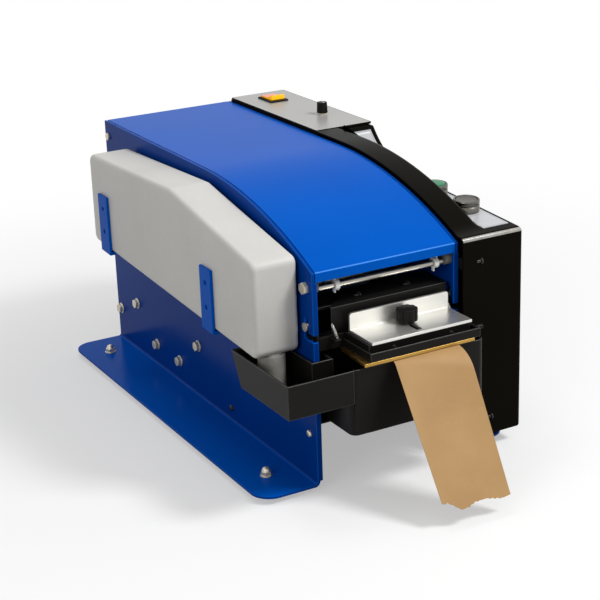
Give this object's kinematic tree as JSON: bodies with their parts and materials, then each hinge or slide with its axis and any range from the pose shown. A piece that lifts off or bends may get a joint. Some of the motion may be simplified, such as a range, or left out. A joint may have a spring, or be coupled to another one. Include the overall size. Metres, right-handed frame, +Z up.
{
  "type": "gummed tape dispenser",
  "caption": "Electric gummed tape dispenser: folded sheet-metal frame, curved lift-up cover, side water bottle, wetting tray, hinged pressure plate, cutter and side control housing.",
  "frame": {"origin": "on the bench plane, midway between the feet", "axes": "+Z up, -Y towards the front where the tape comes out, +X towards the control housing"},
  "size_m": [0.31, 0.6405, 0.3055],
  "materials": {
    "blue_paint": "smooth glossy blue stove enamel",
    "black_paint": "satin black paint",
    "black_gloss": "glossy black stove enamel",
    "grey_panel": "pale grey silver film on sheet",
    "bezel_metal": "satin silver ring",
    "motor_paint": "satin dark grey paint",
    "zinc_steel": "bright zinc-plated steel",
    "blade_steel": "ground hardened steel",
    "brass": "satin brass",
    "aluminium": "brushed aluminium",
    "black_plastic": "satin black plastic",
    "grey_plastic": "dark grey plastic",
    "green_plastic": "glossy green plastic",
    "orange_lens": "lit amber lens",
    "white_plastic": "milky translucent polyethylene",
    "natural_plastic": "natural nylon",
    "rubber": "matt black rubber",
    "kraft_paper": "brown kraft paper with a slight gummed sheen",
    "cardboard": "grey-brown spiral-wound board",
    "bristle": "dark bristles in a black block",
    "label_film": "plain pale film",
    "circuit_board": "green board with black parts"
  },
  "bodies": {
    "frame": {"left_side_plate": "blue_paint", "right_side_plate": "blue_paint", "rubber_feet": "rubber", "foot_studs": "zinc_steel", "frame_bolts": "zinc_steel", "cross_bars": "zinc_steel", "front_rod": "zinc_steel", "hinge_pins": "zinc_steel", "rear_panel": "black_paint", "deck_plate": "zinc_steel", "machine_screws": "zinc_steel", "tape_web": "kraft_paper", "tape_bed": "zinc_steel", "shaft_bushes": "brass", "motor": "motor_paint", "motor_plate": "zinc_steel", "cutter_beam": "black_paint", "cutter_guard": "black_paint", "fixed_blade": "blade_steel", "solenoid": "motor_paint", "side_brackets": "zinc_steel", "press_springs": "blade_steel", "bottle_straps": "blue_paint", "housing": "black_gloss", "control_panel": "grey_panel", "label_plate": "label_film", "rocker_body": "black_plastic", "potentiometer": "zinc_steel", "button_bodies": "bezel_metal", "control_board": "circuit_board", "mains_inlet": "black_plastic"},
    "cover": {"top_cover": "blue_paint"},
    "guide_left": {"guide_left": "white_plastic"},
    "guide_right": {"guide_right": "white_plastic"},
    "roll": {"tape_core": "cardboard", "tape_roll": "kraft_paper"},
    "feed": {"feed_shaft": "zinc_steel", "feed_roller": "rubber", "feed_gear": "natural_plastic"},
    "rotor": {"motor_pinion": "zinc_steel"},
    "pinch_arm": {"pinch_arm": "zinc_steel"},
    "pinch_roller": {"pinch_roller": "rubber"},
    "cutter": {"moving_blade": "blade_steel", "blade_carrier": "zinc_steel"},
    "tray": {"water_tray": "black_plastic", "brushes": "bristle", "tape_strip": "kraft_paper"},
    "press": {"press_arms": "black_paint", "press_pins": "zinc_steel", "press_plate": "black_plastic", "brass_shoe": "brass"},
    "angle": {"weight_angle": "aluminium"},
    "knob": {"clamp_knob": "black_plastic"},
    "bottle": {"water_bottle": "white_plastic", "bottle_cap": "white_plastic"},
    "rocker": {"rocker": "orange_lens"},
    "dial": {"dial_knob": "black_plastic"},
    "green_button": {"green_cap": "green_plastic"},
    "grey_button": {"grey_cap": "grey_plastic"}
  },
  "joints": [
    {"name": "cover_hinge", "type": "hinge", "parent": "frame", "child": "cover", "pos_m": [0, 0.2405, 0.268], "axis": [-1, 0, 0], "range_deg": [0, 100]},
    {"name": "guide_left_slide", "type": "slide", "parent": "frame", "child": "guide_left", "axis": [1, 0, 0], "range_m": [-0.012, 0.03]},
    {"name": "guide_right_slide", "type": "slide", "parent": "frame", "child": "guide_right", "axis": [1, 0, 0], "range_m": [-0.03, 0.005]},
    {"name": "roll_spin", "type": "hinge", "parent": "frame", "child": "roll", "pos_m": [0, 0.102, 0.138], "axis": [1, 0, 0], "continuous": true},
    {"name": "feed_spin", "type": "hinge", "parent": "frame", "child": "feed", "pos_m": [0, -0.16, 0.1247], "axis": [1, 0, 0], "continuous": true},
    {"name": "motor_spin", "type": "hinge", "parent": "frame", "child": "rotor", "pos_m": [0, -0.13229, 0.1087], "axis": [1, 0, 0], "continuous": true},
    {"name": "pinch_lift", "type": "hinge", "parent": "frame", "child": "pinch_arm", "pos_m": [0, -0.135, 0.176], "axis": [-1, 0, 0], "range_deg": [0, 8]},
    {"name": "pinch_spin", "type": "hinge", "parent": "pinch_arm", "child": "pinch_roller", "pos_m": [0, -0.16, 0.1566], "axis": [1, 0, 0], "continuous": true},
    {"name": "blade_lift", "type": "slide", "parent": "frame", "child": "cutter", "axis": [0, 0, 1], "range_m": [0, 0.008]},
    {"name": "tray_slide", "type": "slide", "parent": "frame", "child": "tray", "axis": [0, -1, 0], "range_m": [0, 0.002]},
    {"name": "press_lift", "type": "hinge", "parent": "frame", "child": "press", "pos_m": [0, -0.236, 0.174], "axis": [-1, 0, 0], "range_deg": [0, 22], "deforming": ["press_springs"]},
    {"name": "angle_slide", "type": "slide", "parent": "press", "child": "angle", "axis": [0, 1, 0], "range_m": [0, 0.0015]},
    {"name": "knob_turn", "type": "hinge", "parent": "press", "child": "knob", "pos_m": [0.013, -0.265, 0.17], "axis": [0, 0, 1], "range_deg": [0, 360]},
    {"name": "bottle_lift", "type": "slide", "parent": "frame", "child": "bottle", "axis": [0, 0, 1], "range_m": [0, 0.12]},
    {"name": "rocker_tilt", "type": "hinge", "parent": "frame", "child": "rocker", "pos_m": [0.12265, 0.206, 0.291], "axis": [1, 0, 0], "range_deg": [0, 18]},
    {"name": "dial_turn", "type": "hinge", "parent": "frame", "child": "dial", "pos_m": [0.13165, 0.1, 0.3], "axis": [0, 0, 1], "range_deg": [-150, 150]},
    {"name": "green_button_press", "type": "slide", "parent": "frame", "child": "green_button", "axis": [0, 0.0523, -0.9986], "range_m": [0, 0.004], "stiffness_N_per_m": 300, "springref_m": -0.003},
    {"name": "grey_button_press", "type": "slide", "parent": "frame", "child": "grey_button", "axis": [0, 0.0523, -0.9986], "range_m": [0, 0.004], "stiffness_N_per_m": 300, "springref_m": -0.003}
  ],
  "couplings": [
    {"joint": "feed_spin", "follows": "roll_spin", "ratio": 5},
    {"joint": "motor_spin", "follows": "roll_spin", "ratio": -15},
    {"joint": "pinch_spin", "follows": "roll_spin", "ratio": -9.0909}
  ]
}
